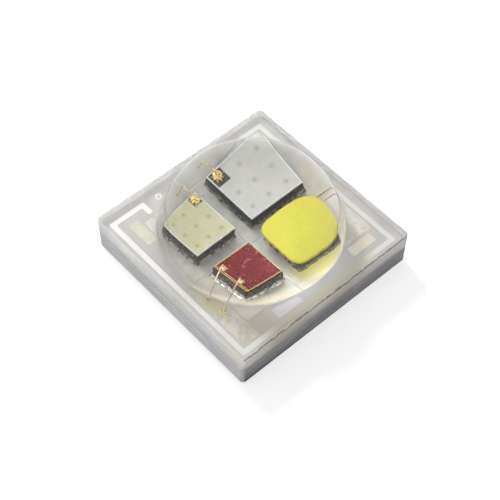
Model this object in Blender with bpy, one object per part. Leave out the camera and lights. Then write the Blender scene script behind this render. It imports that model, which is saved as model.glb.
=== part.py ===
# Four-colour ceramic high-power LED, a 5.0 mm square surface-mount package.
# A ceramic tile carries plated solder pads below and plated lands above, four bare dies with their
# bond wires, and one clear silicone lens moulded over all of it.
# Metres, +Z up. The origin is the middle of the underside, on the solder pads' seating plane.

import math
from collections import namedtuple

import bmesh
import bpy
from mathutils import Matrix, Vector

# Package outline and layer thicknesses
BODY_SIDE = 0.0050
BODY_CORNER_RADIUS = 0.00005
SEAT_GAP = 0.000003
MERGE_DISTANCE = 0.0000001
SOLDER_PAD_THICKNESS = 0.00004
CERAMIC_THICKNESS = 0.00055
LAND_THICKNESS = 0.00004
ATTACH_THICKNESS = 0.000018
CARRIER_THICKNESS = 0.00020
EMITTER_THICKNESS = 0.000020
BOND_PAD_THICKNESS = 0.000008

# Silicone lens: a square film with a dome and a small foot fillet between them; the sink is how far
# the centre of the dome's round lies below the film's top
FILM_THICKNESS = 0.00040
DOME_EDGE_SPACE = 0.000283
DOME_FOOT_RADIUS = 0.00012
DOME_SINK = 0.00020
DOME_SEGMENTS = 64
DOME_RINGS = 14
FOOT_RINGS = 3

# Underside pads and the vias that rise from them
SOLDER_PAD_LENGTH = 0.00085
SOLDER_PAD_WIDTH = 0.00080
SOLDER_PAD_EDGE_INSET = 0.00020
SOLDER_PAD_END_INSET = 0.00030
SOLDER_PADS_PER_SIDE = 4
THERMAL_PAD_SPACE = 0.00035
THERMAL_PAD_END_INSET = 0.00030
PAD_CORNER_RADIUS = 0.00006
VIA_RADIUS = 0.00010
VIA_MARGIN = 0.000025
VIA_SEGMENTS = 20

# Plated frame band and marks on the top face
FRAME_EDGE_INSET = 0.00020
FRAME_BAND_WIDTH = 0.00012
FRAME_OPENING_START = 0.00093
FRAME_OPENING_LENGTH = 0.00087
FRAME_FOOT_LENGTH = 0.00030
FRAME_CORNER_RADIUS = 0.000024
POLARITY_RING_OUTER_RADIUS = 0.00009
POLARITY_RING_INNER_RADIUS = 0.00004
POLARITY_RING_SHIFT = 0.00005
MARK_BAR_LENGTH = 0.00070
MARK_BAR_WIDTH = 0.00026
MARK_BAR_INSET = 0.00015
MARK_BAR_SIDE_SPACE = 0.00010

# Plated lands that carry the dies and take the wires
LAND_CORNER_RADIUS = 0.00004
LAND_SPLIT = 0.00003
LAND_LIP = 0.00002
LAND_EDGE_GAP = 0.00006
WIRE_STRIP_WIDTH = 0.000425

# Dies: the middle of each die, then its sides
BLUE_DIE_X = -0.000645
BLUE_DIE_Y = 0.000628
BLUE_DIE_SIDE = 0.00102
GREEN_DIE_X = -0.000641
GREEN_DIE_Y = -0.000656
GREEN_DIE_SIDE = 0.00091
RED_DIE_X = 0.000618
RED_DIE_Y = -0.000652
RED_DIE_LENGTH = 0.000914
RED_DIE_WIDTH = 0.000874
WHITE_DIE_X = 0.000635
WHITE_DIE_Y = 0.000601
WHITE_DIE_SIDE = 0.000936
ATTACH_MARGIN = 0.00003
DIE_CORNER_RADIUS = 0.000012
EMITTER_MARGIN = 0.000016
CONTACT_HOLE_RADIUS = 0.000018
CONTACT_HOLE_SEGMENTS = 10
CONTACT_HOLES_PER_SIDE = 3

# Bond pads on the dies' tops
BLUE_BOND_PAD_SIDE = 0.00023
GREEN_BOND_PAD_SIDE = 0.00016
WHITE_BOND_PAD_LENGTH = 0.00026
WHITE_BOND_PAD_WIDTH = 0.00013
NOTCH_CLEARANCE = 0.000014

# Top contact of the red die: a thin border, a bar beside one edge and two bond pads on the bar
RED_BORDER_WIDTH = 0.000014
RED_BAR_WIDTH = 0.000016
RED_BAR_SPACE = 0.000022
RED_BOND_PAD_SIDE = 0.00012
RED_BOND_FIRST = 0.00016
RED_BOND_PITCH = 0.00046

# Phosphor drop on the white die: a squared round, crowned on top
PHOSPHOR_OVERHANG = 0.000125
PHOSPHOR_SQUARENESS = 3.2
PHOSPHOR_EDGE = 0.00006
PHOSPHOR_EDGE_TURN = math.radians(60)
PHOSPHOR_CROWN = 0.00005
PHOSPHOR_SEGMENTS = 48
PHOSPHOR_RINGS = 5

# Bond wires: the handle is how far the loop's first pull reaches above the ball's neck
WIRE_RADIUS = 0.000017
WIRE_SIDES = 8
LOOP_HANDLE = 0.00022
LOW_LOOP_HANDLE = 0.00006
LOOP_STEPS = 10
LANDING_REACH_SHARE = 0.34
LANDING_HEIGHT_SHARE = 0.85
STITCH_LENGTH = 0.00010
STITCH_HALF_WIDTH = 0.000036
STITCH_HALF_THICKNESS = 0.000008
STITCH_MIDDLE_HALF_THICKNESS = 0.0000105
STITCH_SETBACK = 0.00023
SHORT_STITCH_SETBACK = 0.00014
RED_STITCH_SHIFT = 0.00040

# Balls: flattened rounds, cut flat below, with a short neck of wire on top
LARGE_BALL_RADIUS = 0.000068
SMALL_BALL_RADIUS = 0.000046
BURIED_BALL_RADIUS = 0.000036
BALL_FLATTENING = 0.45
BALL_CUT_TURN = math.radians(55)
BALL_RINGS = 4
NECK_LENGTH = 0.00002

# Heights of the layers, from the seating plane up
CERAMIC_BOTTOM = SOLDER_PAD_THICKNESS + SEAT_GAP
CERAMIC_TOP = CERAMIC_BOTTOM + CERAMIC_THICKNESS
LAND_BOTTOM = CERAMIC_TOP + SEAT_GAP
LAND_TOP = LAND_BOTTOM + LAND_THICKNESS
ATTACH_BOTTOM = LAND_TOP + SEAT_GAP
ATTACH_TOP = ATTACH_BOTTOM + ATTACH_THICKNESS
CARRIER_BOTTOM = ATTACH_TOP + SEAT_GAP
CARRIER_TOP = CARRIER_BOTTOM + CARRIER_THICKNESS
EMITTER_BOTTOM = CARRIER_TOP + SEAT_GAP
EMITTER_TOP = EMITTER_BOTTOM + EMITTER_THICKNESS
BOND_PAD_TOP = EMITTER_BOTTOM + BOND_PAD_THICKNESS
RED_CONTACT_BOTTOM = EMITTER_TOP + SEAT_GAP
RED_CONTACT_TOP = RED_CONTACT_BOTTOM + BOND_PAD_THICKNESS
PHOSPHOR_BOTTOM = EMITTER_TOP + SEAT_GAP
LENS_BOTTOM = CERAMIC_TOP + SEAT_GAP
FILM_TOP = LENS_BOTTOM + FILM_THICKNESS
CUTTER_BOTTOM = LENS_BOTTOM - LAND_THICKNESS

# Edges of the plated area, of the solder pads and of the dome with its foot
FRAME_HALF = BODY_SIDE / 2 - FRAME_EDGE_INSET
LAND_EDGE = FRAME_HALF - FRAME_BAND_WIDTH - LAND_EDGE_GAP
PAD_INNER_SIDE = BODY_SIDE / 2 - SOLDER_PAD_EDGE_INSET - SOLDER_PAD_LENGTH
DOME_FOOT_REACH = BODY_SIDE / 2 - DOME_EDGE_SPACE
DOME_RADIUS = math.hypot(DOME_FOOT_REACH, DOME_FOOT_RADIUS + DOME_SINK) - DOME_FOOT_RADIUS
DOME_CENTRE = FILM_TOP - DOME_SINK
Box = namedtuple("Box", "left low right high")
Die = namedtuple("Die", "name x y length width box")


def centred_box(x, y, length, width):
    return Box(x - length / 2, y - width / 2, x + length / 2, y + width / 2)


def described_die(name, x, y, length, width):
    return Die(name, x, y, length, width, centred_box(x, y, length, width))


BLUE = described_die("blue", BLUE_DIE_X, BLUE_DIE_Y, BLUE_DIE_SIDE, BLUE_DIE_SIDE)
GREEN = described_die("green", GREEN_DIE_X, GREEN_DIE_Y, GREEN_DIE_SIDE, GREEN_DIE_SIDE)
RED = described_die("red", RED_DIE_X, RED_DIE_Y, RED_DIE_LENGTH, RED_DIE_WIDTH)
WHITE = described_die("white", WHITE_DIE_X, WHITE_DIE_Y, WHITE_DIE_SIDE, WHITE_DIE_SIDE)


def make_material(name, colour, roughness, metallic=0.0, transmission=0.0):
    made = bpy.data.materials.new(name)
    made.use_nodes = True
    shader = made.node_tree.nodes["Principled BSDF"]
    shader.inputs["Base Color"].default_value = (*colour, 1.0)
    shader.inputs["Roughness"].default_value = roughness
    shader.inputs["Metallic"].default_value = metallic
    shader.inputs["Transmission Weight"].default_value = transmission
    made.diffuse_color = (*colour, 1.0)
    return made


def add_object(name, mesh, finish):
    made = bpy.data.objects.new(name, mesh)
    bpy.context.scene.collection.objects.link(made)
    mesh.materials.append(finish)
    return made


# Outlines are lists of (x, y) points, counter-clockwise

def box_outline(box):
    return [(box.left, box.low), (box.right, box.low), (box.right, box.high), (box.left, box.high)]


def circle(x, y, radius, segments):
    turns = [2 * math.pi * step / segments for step in range(segments)]
    return [(x + radius * math.cos(turn), y + radius * math.sin(turn)) for turn in turns]


def corner_shift(before, after):
    """How far a mitred corner moves when both of its edges move out by one."""
    normal_before = Vector((before.y, -before.x))
    normal_after = Vector((after.y, -after.x))
    return (normal_before + normal_after) / (1 + normal_before.dot(normal_after))


def grown(outline, growth):
    """Move every edge of an outline outwards, with mitred corners."""
    points = [Vector(point) for point in outline]
    moved = []
    for index, point in enumerate(points):
        before = (point - points[index - 1]).normalized()
        after = (points[(index + 1) % len(points)] - point).normalized()
        moved.append(tuple(point + corner_shift(before, after) * growth))
    return moved


def rounded(outline, radius, steps=3):
    """Round every corner of an outline with an arc, inner corners too."""
    points = [Vector(point) for point in outline]
    smooth = []
    for index, point in enumerate(points):
        to_before = (points[index - 1] - point).normalized()
        to_after = (points[(index + 1) % len(points)] - point).normalized()
        half_angle = to_before.angle(to_after) / 2
        centre = point + (to_before + to_after).normalized() * radius / math.sin(half_angle)
        start = to_before * radius / math.tan(half_angle) + point - centre
        end = to_after * radius / math.tan(half_angle) + point - centre
        sweep = math.atan2(start.cross(end), start.dot(end))
        for step in range(steps + 1):
            smooth.append(tuple(centre + Matrix.Rotation(sweep * step / steps, 2) @ start))
    return smooth


def band_outline(path, width):
    """The outline of a band of even width along an open path of straight stretches."""
    points = [Vector(point) for point in path]
    runs = [(after - before).normalized() for before, after in zip(points, points[1:])]
    meetings = zip([runs[0]] + runs, runs + [runs[-1]])
    shifts = [corner_shift(before, after) * width / 2 for before, after in meetings]
    right = [tuple(point + shift) for point, shift in zip(points, shifts)]
    left = [tuple(point - shift) for point, shift in zip(points, shifts)]
    return right + left[::-1]


# Solids

def finished_mesh(name, builder):
    bmesh.ops.recalc_face_normals(builder, faces=builder.faces)
    mesh = bpy.data.meshes.new(name)
    builder.to_mesh(mesh)
    builder.free()
    return mesh


def plate_mesh(name, outline, z_low, z_high):
    """A flat plate: the outline's face, extruded upwards."""
    builder = bmesh.new()
    base = builder.faces.new([builder.verts.new((x, y, z_low)) for x, y in outline])
    raised = bmesh.ops.extrude_face_region(builder, geom=[base])
    corners = [item for item in raised["geom"] if isinstance(item, bmesh.types.BMVert)]
    bmesh.ops.translate(builder, verts=corners, vec=(0, 0, z_high - z_low))
    return finished_mesh(name, builder)


def plate(name, outline, z_low, z_high, finish):
    return add_object(name, plate_mesh(name, outline, z_low, z_high), finish)


def lofted_mesh(name, rings):
    """A closed skin over rings of points, with a face on its first and last ring."""
    builder = bmesh.new()
    loops = [[builder.verts.new(point) for point in ring] for ring in rings]
    for lower, upper in zip(loops, loops[1:]):
        for index in range(len(lower)):
            builder.faces.new((lower[index - 1], lower[index], upper[index], upper[index - 1]))
    builder.faces.new(loops[0][::-1])
    builder.faces.new(loops[-1])
    mesh = finished_mesh(name, builder)
    mesh.shade_smooth()
    mesh.set_sharp_from_angle(angle=math.radians(40))
    return mesh


def combine(target, others, operation):
    """Cut other solids out of the target, or join them to it; the others stay as guides."""
    for other in others:
        boolean = target.modifiers.new(f"{operation.lower()} {other.name}", "BOOLEAN")
        boolean.operation = operation
        boolean.solver = "EXACT"
        boolean.object = other
        other.hide_render = True
        other.display_type = "WIRE"


class Pockets:
    """The hollows that the moulded silicone keeps round what it covers, each open underneath."""

    def __init__(self, finish):
        self.finish = finish
        self.cutters = []

    def over_plate(self, name, outline, z_high):
        mesh = plate_mesh(name, grown(outline, SEAT_GAP), CUTTER_BOTTOM, z_high + SEAT_GAP)
        self.over_solid(name, mesh)

    def over_solid(self, name, mesh):
        self.cutters.append(add_object("pocket_" + name, mesh, self.finish))


# Underside: eight solder pads with their vias, and the thermal pad

def solder_pad_boxes():
    """Pads 1 to 4 run up the left side, pads 5 to 8 down the right side."""
    reach = PAD_INNER_SIDE + SOLDER_PAD_LENGTH / 2
    end = BODY_SIDE / 2 - SOLDER_PAD_END_INSET - SOLDER_PAD_WIDTH / 2
    pitch = 2 * end / (SOLDER_PADS_PER_SIDE - 1)
    rows = [step * pitch - end for step in range(SOLDER_PADS_PER_SIDE)]
    places = [(-reach, y) for y in rows] + [(reach, y) for y in reversed(rows)]
    return [centred_box(x, y, SOLDER_PAD_LENGTH, SOLDER_PAD_WIDTH) for x, y in places]


def make_solder_pads(vias, finish):
    for number, (box, via) in enumerate(zip(solder_pad_boxes(), vias), start=1):
        outline = rounded(box_outline(box), PAD_CORNER_RADIUS)
        pad = plate(f"solder_pad_{number}", outline, 0.0, SOLDER_PAD_THICKNESS, finish)
        post_outline = circle(*via, VIA_RADIUS, VIA_SEGMENTS)
        post = plate(f"via_post_{number}", post_outline, SOLDER_PAD_THICKNESS / 2, CERAMIC_TOP, finish)
        combine(pad, [post], "UNION")


def make_thermal_pad(finish):
    """The thermal pad fills the space between the two columns of solder pads."""
    width = 2 * (PAD_INNER_SIDE - THERMAL_PAD_SPACE)
    box = centred_box(0, 0, width, BODY_SIDE - 2 * THERMAL_PAD_END_INSET)
    outline = rounded(box_outline(box), PAD_CORNER_RADIUS)
    plate("thermal_pad", outline, 0.0, SOLDER_PAD_THICKNESS, finish)


def body_outline():
    return rounded(box_outline(centred_box(0, 0, BODY_SIDE, BODY_SIDE)), BODY_CORNER_RADIUS)


def make_ceramic(vias, finish):
    tile = plate("ceramic_substrate", body_outline(), CERAMIC_BOTTOM, CERAMIC_TOP, finish)
    holes = []
    for number, via in enumerate(vias, start=1):
        outline = circle(*via, VIA_RADIUS + SEAT_GAP, VIA_SEGMENTS)
        holes.append(plate(f"via_hole_{number}", outline, 0.0, LAND_TOP, finish))
    combine(tile, holes, "DIFFERENCE")


# Top face: the lands, split along one column line and one row line between the dies

def land_plan():
    """Each land's outline, and the part of it that lies over its own solder pad."""
    die_rim = ATTACH_MARGIN + LAND_LIP
    column = min(RED.box.left, WHITE.box.left) - die_rim - LAND_SPLIT / 2
    row = max(RED.box.high, GREEN.box.high) + die_rim + LAND_SPLIT / 2
    left, right = column - LAND_SPLIT / 2, column + LAND_SPLIT / 2
    below, above = row - LAND_SPLIT / 2, row + LAND_SPLIT / 2
    wing_right = PAD_INNER_SIDE + 2 * (VIA_RADIUS + VIA_MARGIN)
    strip_high = WIRE_STRIP_WIDTH - LAND_EDGE
    low = strip_high + LAND_SPLIT

    blue_left = BLUE.box.left - die_rim
    blue_shoulder = BLUE.box.high - die_rim
    blue_wing = Box(-LAND_EDGE, blue_shoulder, blue_left, LAND_EDGE)
    blue_wire = Box(-LAND_EDGE, above, blue_left - LAND_SPLIT, blue_shoulder - LAND_SPLIT)

    green_left = GREEN.box.left - die_rim
    green_shoulder = GREEN.y - die_rim
    tail = FRAME_FOOT_LENGTH - LAND_EDGE
    green_wing = Box(tail, low, green_left, green_shoulder)
    green_wire = Box(tail, green_shoulder + LAND_SPLIT, green_left - LAND_SPLIT, below)

    red_die = Box(right, low, wing_right, below)
    red_wire = Box(RED.box.left, -LAND_EDGE, LAND_EDGE, strip_high)

    white_high = WHITE.box.high + PHOSPHOR_OVERHANG + die_rim
    white_die = Box(right, above, wing_right, white_high)
    white_wire = Box(right, white_high + LAND_SPLIT, wing_right, LAND_EDGE)
    return {
        "green_die_land": ([(tail, low), (left, low), (left, below), (green_left, below),
                            (green_left, green_shoulder), (tail, green_shoulder)], green_wing),
        "green_wire_land": (box_outline(green_wire), green_wire),
        "blue_wire_land": (box_outline(blue_wire), blue_wire),
        "blue_die_land": ([(blue_left, above), (left, above), (left, LAND_EDGE), (-LAND_EDGE, LAND_EDGE),
                           (-LAND_EDGE, blue_shoulder), (blue_left, blue_shoulder)], blue_wing),
        "white_wire_land": (box_outline(white_wire), white_wire),
        "white_die_land": (box_outline(white_die), white_die),
        "red_die_land": (box_outline(red_die), red_die),
        "red_wire_land": (box_outline(red_wire), red_wire),
    }


def via_places(plan):
    """Each via stands in the middle of where its solder pad and its land overlap."""
    places = []
    for pad, (_, land) in zip(solder_pad_boxes(), plan.values()):
        x = (max(pad.left, land.left) + min(pad.right, land.right)) / 2
        y = (max(pad.low, land.low) + min(pad.high, land.high)) / 2
        places.append((x, y))
    return places


def make_lands(plan, pockets, finish):
    for name, (outline, _) in plan.items():
        smooth = rounded(outline, LAND_CORNER_RADIUS)
        plate(name, smooth, LAND_BOTTOM, LAND_TOP, finish)
        pockets.over_plate(name, smooth, LAND_TOP)


def mark_bars(plan):
    """Each bar lies beside one die's land, on the ceramic that the lands leave bare."""
    left_end = MARK_BAR_INSET - LAND_EDGE
    left_high = plan["green_die_land"][1].low - LAND_EDGE_GAP
    right_side = plan["white_die_land"][1].right + LAND_EDGE_GAP
    right_high = LAND_EDGE - MARK_BAR_INSET
    near_side = plan["red_die_land"][1].right + MARK_BAR_INSET
    near_low = RED.box.low
    return {
        "left_mark_bar": Box(left_end, left_high - MARK_BAR_WIDTH, left_end + MARK_BAR_LENGTH, left_high),
        "right_mark_bar": Box(right_side, right_high - MARK_BAR_LENGTH,
                              LAND_EDGE - MARK_BAR_SIDE_SPACE, right_high),
        "near_mark_bar": Box(near_side, near_low, LAND_EDGE, near_low + MARK_BAR_LENGTH),
    }


def make_frame_and_marks(plan, pockets, finish):
    """The frame band is open on its left side, beside a ring that marks pin 1."""
    middle = FRAME_HALF - FRAME_BAND_WIDTH / 2
    opening_low = FRAME_OPENING_START - FRAME_HALF
    opening_high = opening_low + FRAME_OPENING_LENGTH
    foot = FRAME_FOOT_LENGTH - middle
    path = [(foot, opening_low), (-middle, opening_low), (-middle, -middle), (middle, -middle),
            (middle, middle), (-middle, middle), (-middle, opening_high)]
    band = rounded(band_outline(path, FRAME_BAND_WIDTH), FRAME_CORNER_RADIUS, steps=2)
    plate("frame_band", band, LAND_BOTTOM, LAND_TOP, finish)
    pockets.over_plate("frame_band", band, LAND_TOP)

    ring_place = (POLARITY_RING_SHIFT - middle, (opening_low + opening_high) / 2)
    rim = circle(*ring_place, POLARITY_RING_OUTER_RADIUS, VIA_SEGMENTS)
    hollow = circle(*ring_place, POLARITY_RING_INNER_RADIUS, VIA_SEGMENTS)
    ring = plate("polarity_ring", rim, LAND_BOTTOM, LAND_TOP, finish)
    combine(ring, [plate("polarity_hollow", hollow, CERAMIC_BOTTOM, ATTACH_TOP, finish)], "DIFFERENCE")
    pockets.over_plate("polarity_ring", rim, LAND_TOP)

    for name, box in mark_bars(plan).items():
        outline = rounded(box_outline(box), LAND_CORNER_RADIUS)
        plate(name, outline, LAND_BOTTOM, LAND_TOP, finish)
        pockets.over_plate(name, outline, LAND_TOP)


# Dies: an attach layer, a carrier and a thin emitter on top

def make_die(die, z_high, pockets, finishes):
    """The attach layer and the carrier, and the hollow in the lens up to the die's highest layer."""
    attach = rounded(grown(box_outline(die.box), ATTACH_MARGIN), ATTACH_MARGIN)
    plate(f"{die.name}_die_attach", attach, ATTACH_BOTTOM, ATTACH_TOP, finishes["solder"])
    pockets.over_plate(f"{die.name}_attach", attach, ATTACH_TOP)
    body = rounded(box_outline(die.box), DIE_CORNER_RADIUS, steps=2)
    plate(f"{die.name}_die_carrier", body, CARRIER_BOTTOM, CARRIER_TOP, finishes["carrier"])
    pockets.over_plate(f"{die.name}_die", body, z_high)


def make_notched_emitter(die, notch_length, notch_width, at_top, finish):
    """A thin emitter with a corner cut away for the bond pad, and a grid of small contact holes."""
    face = centred_box(die.x, die.y, die.length - 2 * EMITTER_MARGIN, die.width - 2 * EMITTER_MARGIN)
    inner_x = face.left + notch_length
    if at_top:
        inner_y = face.high - notch_width
        outline = [(face.left, face.low), (face.right, face.low), (face.right, face.high),
                   (inner_x, face.high), (inner_x, inner_y), (face.left, inner_y)]
    else:
        inner_y = face.low + notch_width
        outline = [(inner_x, face.low), (face.right, face.low), (face.right, face.high),
                   (face.left, face.high), (face.left, inner_y), (inner_x, inner_y)]
    emitter = plate(f"{die.name}_die_emitter", outline, EMITTER_BOTTOM, EMITTER_TOP, finish)
    notch_row = CONTACT_HOLES_PER_SIDE - 1 if at_top else 0
    holes = []
    for column in range(CONTACT_HOLES_PER_SIDE):
        for row in range(CONTACT_HOLES_PER_SIDE):
            if (column, row) == (0, notch_row):
                continue
            x = die.box.left + die.length * (column + 0.5) / CONTACT_HOLES_PER_SIDE
            y = die.box.low + die.width * (row + 0.5) / CONTACT_HOLES_PER_SIDE
            hole = circle(x, y, CONTACT_HOLE_RADIUS, CONTACT_HOLE_SEGMENTS)
            holes.append(plate(f"{die.name}_contact_hole_{len(holes) + 1}", hole, CARRIER_TOP,
                               EMITTER_TOP + SEAT_GAP, finish))
    combine(emitter, holes, "DIFFERENCE")


def corner_pad(die, length, width, at_top):
    """The box of a bond pad in the die's left corner, at its top or its bottom edge."""
    left = die.box.left + EMITTER_MARGIN
    low = die.box.high - EMITTER_MARGIN - width if at_top else die.box.low + EMITTER_MARGIN
    return Box(left, low, left + length, low + width)


def make_cornered_die(die, pad_length, pad_width, at_top, pockets, finishes):
    make_die(die, EMITTER_TOP, pockets, finishes)
    make_notched_emitter(die, pad_length + NOTCH_CLEARANCE, pad_width + NOTCH_CLEARANCE, at_top,
                         finishes[f"{die.name}_emitter"])
    pad = corner_pad(die, pad_length, pad_width, at_top)
    plate(f"{die.name}_die_bond_pad", box_outline(pad), EMITTER_BOTTOM, BOND_PAD_TOP,
          finishes["bond_pad"])
    return pad


def make_red_die(pockets, finishes):
    """A plain emitter under a gold border, with a bar and two bond pads along its near edge."""
    make_die(RED, RED_CONTACT_TOP, pockets, finishes)
    rim = grown(box_outline(RED.box), -EMITTER_MARGIN)
    plate("red_die_emitter", rim, EMITTER_BOTTOM, EMITTER_TOP, finishes["red_emitter"])
    contact = plate("red_die_contact", rim, RED_CONTACT_BOTTOM, RED_CONTACT_TOP, finishes["gold"])
    inset = EMITTER_MARGIN + RED_BORDER_WIDTH
    left, right = RED.box.left + inset, RED.box.right - inset
    slot_low = RED.box.low + inset
    slot_high = slot_low + RED_BAR_SPACE
    bar_high = slot_high + RED_BAR_WIDTH
    pad_high = slot_high + RED_BOND_PAD_SIDE
    slot = box_outline(Box(left, slot_low, right, slot_high))
    window = [(left, bar_high)]
    for x, _ in red_bonds():
        pad_left, pad_right = x - RED_BOND_PAD_SIDE / 2, x + RED_BOND_PAD_SIDE / 2
        window += [(pad_left, bar_high), (pad_left, pad_high),
                   (pad_right, pad_high), (pad_right, bar_high)]
    window += [(right, bar_high), (right, RED.box.high - inset), (left, RED.box.high - inset)]
    openings = [plate(name, outline, EMITTER_BOTTOM, RED_CONTACT_TOP + SEAT_GAP, finishes["gold"])
                for name, outline in (("contact_slot", slot), ("contact_window", window))]
    combine(contact, openings, "DIFFERENCE")


def red_bonds():
    """The middles of the red die's two bond pads."""
    y = RED.box.low + EMITTER_MARGIN + RED_BORDER_WIDTH + RED_BAR_SPACE + RED_BOND_PAD_SIDE / 2
    return [(RED.box.left + RED_BOND_FIRST + step * RED_BOND_PITCH, y) for step in (0, 1)]


# Phosphor: rings of a squared round, up a rounded edge and over a crowned top

def squared_round(half, squareness, segments):
    """A superellipse: it reaches half to each side, and is squarer as squareness grows."""
    outline = []
    for x, y in circle(0, 0, 1, segments):
        reach = (abs(x) ** squareness + abs(y) ** squareness) ** (1 / squareness)
        outline.append((half * x / reach, half * y / reach))
    return outline


def phosphor_mesh(name, growth):
    half = WHITE.length / 2 + PHOSPHOR_OVERHANG
    outline = squared_round(half + growth, PHOSPHOR_SQUARENESS, PHOSPHOR_SEGMENTS)

    def ring(share, z):
        return [(WHITE.x + x * share, WHITE.y + y * share, z) for x, y in outline]

    rings = []
    for turn in (-PHOSPHOR_EDGE_TURN, 0.0, PHOSPHOR_EDGE_TURN):
        share = 1 - PHOSPHOR_EDGE / half * (1 - math.cos(turn)) / 2
        height = (1 + math.sin(turn) / math.sin(PHOSPHOR_EDGE_TURN)) / 2
        rings.append(ring(share, PHOSPHOR_BOTTOM - growth + (PHOSPHOR_EDGE + 2 * growth) * height))
    shoulder = rings[-1][0][2]
    for step in range(1, PHOSPHOR_RINGS + 1):
        inward = math.cos(math.pi / 2 * step / (PHOSPHOR_RINGS + 1))
        rings.append(ring(share * inward, shoulder + PHOSPHOR_CROWN * (1 - inward ** 2)))
    return lofted_mesh(name, rings)


# Bond wires: a ball, a loop in one upright plane and a flattened stitch, lofted as one skin

def ball_stations(foot, radius):
    """Rings up a flattened round from its flat underside: each ring's middle and its radius."""
    stations = []
    for step in range(BALL_RINGS + 1):
        turn = BALL_CUT_TURN * (2 * step / BALL_RINGS - 1)
        height = radius * BALL_FLATTENING * (math.sin(turn) + math.sin(BALL_CUT_TURN))
        stations.append((foot + Vector((0, 0, height)), radius * math.cos(turn)))
    return stations


def cubic_curve(start, first_handle, second_handle, end, steps):
    """Points along a Bezier curve, its two ends included."""
    points = []
    for step in range(steps + 1):
        t = step / steps
        points.append(start * (1 - t) ** 3 + first_handle * 3 * t * (1 - t) ** 2
                      + second_handle * 3 * t ** 2 * (1 - t) + end * t ** 3)
    return points


def wire_mesh(name, ball_x, ball_y, ball_z, ball_radius, tip_x, tip_y, handle, growth):
    along = Vector((tip_x - ball_x, tip_y - ball_y, 0)).normalized()
    across = Vector((-along.y, along.x, 0))
    up = Vector((0, 0, 1))
    ball = ball_stations(Vector((ball_x, ball_y, ball_z + SEAT_GAP)), ball_radius)
    stations = [(point, radius, radius) for point, radius in ball]
    stations[0] = (ball[0][0] - up * growth, ball[0][1], ball[0][1])

    neck = ball[-1][0] + up * NECK_LENGTH
    tip = Vector((tip_x, tip_y, LAND_TOP + SEAT_GAP + STITCH_HALF_THICKNESS))
    heel = tip - along * STITCH_LENGTH + up * (WIRE_RADIUS - STITCH_HALF_THICKNESS)
    landing = (heel - along * (heel - neck).length * LANDING_REACH_SHARE
               + up * (neck.z - heel.z) * LANDING_HEIGHT_SHARE)
    for point in cubic_curve(neck, neck + up * handle, landing, heel, LOOP_STEPS):
        stations.append((point, WIRE_RADIUS, WIRE_RADIUS))
    stations.append(((heel + tip) / 2, STITCH_HALF_WIDTH, STITCH_MIDDLE_HALF_THICKNESS))
    stations.append((tip + along * growth, STITCH_HALF_WIDTH, STITCH_HALF_THICKNESS))

    rings = []
    for index, (point, half_width, half_height) in enumerate(stations):
        before = stations[max(index - 1, 0)][0]
        after = stations[min(index + 1, len(stations) - 1)][0]
        over = (after - before).normalized().cross(across)
        if index == len(stations) - 1:
            over = along.cross(across)
        ring = []
        for side in range(WIRE_SIDES):
            turn = 2 * math.pi * (side + 0.5) / WIRE_SIDES
            ring.append(point + across * (half_width + growth) * math.cos(turn)
                        + over * (half_height + growth) * math.sin(turn))
        rings.append(ring)
    return lofted_mesh(name, rings)


def wire_runs(plan, blue_pad, green_pad, white_pad):
    """Each wire's name, its ball's place and size, its stitch's tip and its loop's handle."""
    runs = []
    for name, pad, land in (("blue_bond_wire", blue_pad, "blue_wire_land"),
                            ("green_bond_wire", green_pad, "green_wire_land")):
        x = pad.left + LARGE_BALL_RADIUS + LAND_LIP
        y = (pad.low + pad.high) / 2
        tip = plan[land][1].right - SHORT_STITCH_SETBACK
        runs.append((name, x, y, BOND_PAD_TOP, LARGE_BALL_RADIUS, tip, y, LOOP_HANDLE))
    red_land = plan["red_wire_land"][1]
    for number, (x, y) in enumerate(red_bonds(), start=1):
        runs.append((f"red_bond_wire_{number}", x, y, RED_CONTACT_TOP, SMALL_BALL_RADIUS,
                     x + RED_STITCH_SHIFT, red_land.high - STITCH_SETBACK, LOOP_HANDLE))
    white_land = plan["white_wire_land"][1]
    for number in (1, 2):
        x = white_pad.left + (white_pad.right - white_pad.left) * (number - 0.5) / 2
        y = (white_pad.low + white_pad.high) / 2
        runs.append((f"white_bond_wire_{number}", x, y, BOND_PAD_TOP, BURIED_BALL_RADIUS,
                     x, white_land.low + STITCH_SETBACK, LOW_LOOP_HANDLE))
    return runs


def make_phosphor(runs, pockets, finish):
    """The drop, with a tunnel through it for each wire of its own die."""
    name = "white_die_phosphor"
    drop = add_object(name, phosphor_mesh(name, 0), finish)
    tunnels = [add_object("tunnel_" + wire, wire_mesh("tunnel_" + wire, *run, SEAT_GAP), finish)
               for wire, *run in runs if wire.startswith(WHITE.name)]
    combine(drop, tunnels, "DIFFERENCE")
    pockets.over_solid("phosphor", phosphor_mesh("pocket_phosphor", SEAT_GAP))


def make_wires(runs, pockets, finish):
    for name, *run in runs:
        add_object(name, wire_mesh(name, *run, 0), finish)
        pockets.over_solid(name, wire_mesh("pocket_" + name, *run, SEAT_GAP))


# Lens: the square film and the turned dome, joined, with the pockets cut from below

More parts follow.
